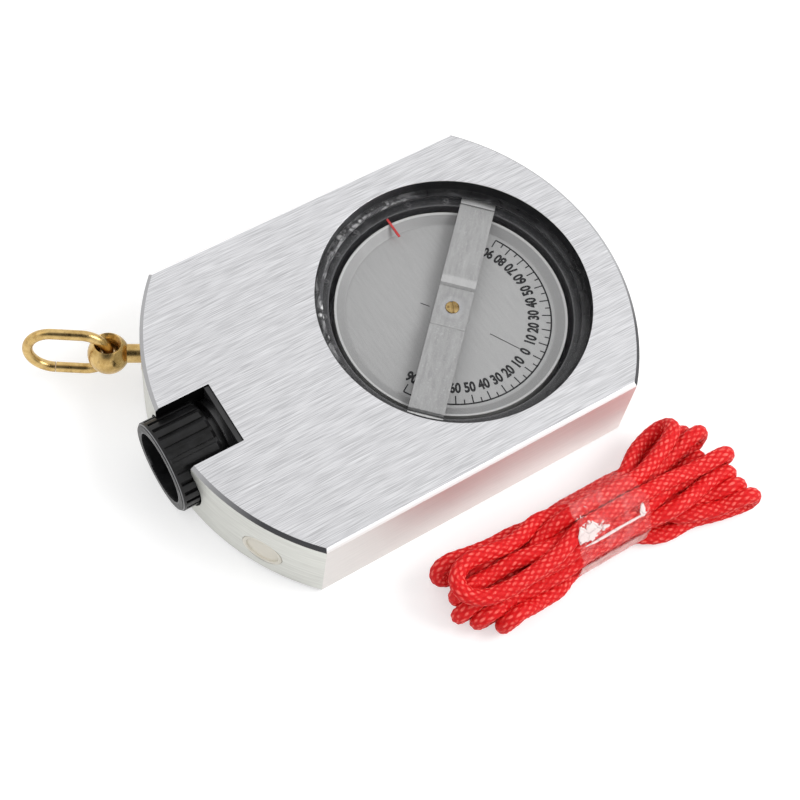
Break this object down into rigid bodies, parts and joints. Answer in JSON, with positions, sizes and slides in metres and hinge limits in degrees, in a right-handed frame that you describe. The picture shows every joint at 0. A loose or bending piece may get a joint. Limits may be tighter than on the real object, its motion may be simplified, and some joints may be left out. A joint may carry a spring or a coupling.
{
  "type": "clinometer",
  "caption": "Pocket clinometer: flat metal body with a windowed, weighted scale wheel, a focusing eyepiece in one end, a lanyard swivel and ring, and a hanked cord beside it.",
  "frame": {"origin": "middle of the flat back face, on the instrument's centre line", "axes": "+X along the body towards the dial end, +Y across it towards the swivel's side, +Z out of the dial"},
  "size_m": [0.0876, 0.0743, 0.015],
  "materials": {
    "body_aluminium": "brushed top, satin sides",
    "plate_metal": "printed satin",
    "strip_metal": "satin rolled strip",
    "clear_plastic": "polished clear",
    "black_plastic": "moulded black",
    "black_metal": "black anodised, semi-gloss",
    "seal_rubber": "matt",
    "brass": "turned and polished",
    "steel": "ground",
    "jewel": "polished ruby",
    "dial": "printed matt grey",
    "index_red": "painted",
    "lens_glass": "coated and polished",
    "white_plastic": "translucent moulding",
    "red_cord": "braided",
    "clear_tape": "glossy film"
  },
  "bodies": {
    "body": {"body_block": "body_aluminium", "rear_plate": "plate_metal", "capsule_cup": "clear_plastic", "capsule_liner": "black_plastic", "capsule_seal": "seal_rubber", "capsule_window": "clear_plastic", "index_line": "index_red", "hairline_plate": "lens_glass", "front_bridge": "strip_metal", "rear_bridge": "strip_metal", "front_bearing_screw": "brass", "rear_bearing_screw": "brass", "front_jewel": "jewel", "rear_jewel": "jewel", "eyepiece_bushing": "black_metal", "eyepiece_seal": "seal_rubber", "cell_key_pin": "steel", "end_plug": "white_plastic", "capsule_set_screw": "steel", "swivel_bushing": "brass"},
    "wheel": {"pivot_shaft": "steel", "wheel_hub": "brass", "scale_wheel": "dial", "wheel_weight": "brass"},
    "lens_carrier": {"lens_cell": "black_metal", "eyepiece_lens": "lens_glass", "lens_retainer": "black_metal"},
    "focusing": {"focus_ring": "black_plastic", "cell_snap_ring": "steel"},
    "swivel": {"swivel_eye": "brass", "swivel_clip": "steel"},
    "link": {"lanyard_ring": "brass"},
    "cord": {"lanyard_hank": "red_cord", "hank_tape": "clear_tape"}
  },
  "joints": [
    {"name": "wheel_turn", "type": "hinge", "parent": "body", "child": "wheel", "pos_m": [0.0111, 0, 0.0075], "axis": [0, 0, 1], "continuous": true},
    {"name": "lens_travel", "type": "slide", "parent": "body", "child": "lens_carrier", "axis": [-1, 0, 0], "range_m": [-0.001, 0.001]},
    {"name": "focus_turn", "type": "hinge", "parent": "lens_carrier", "child": "focusing", "pos_m": [-0.0375, 0, 0.0075], "axis": [-1, 0, 0], "range_deg": [-150, 150]},
    {"name": "swivel_turn", "type": "hinge", "parent": "body", "child": "swivel", "pos_m": [-0.03708, 0.02056, 0.0075], "axis": [-0.8746, 0.4848, 0], "continuous": true},
    {"name": "ring_swing", "type": "hinge", "parent": "swivel", "child": "link", "pos_m": [-0.03708, 0.02056, 0.0075], "axis": [0.0842, 0.1519, 0.9848], "range_deg": [-95, 95]},
    {"name": "hank_lift", "type": "slide", "parent": "body", "child": "cord", "axis": [0, 0, 1], "range_m": [0, 0.06]}
  ],
  "couplings": [
    {"joint": "focus_turn", "follows": "lens_travel", "rad_per_m": 2618}
  ]
}
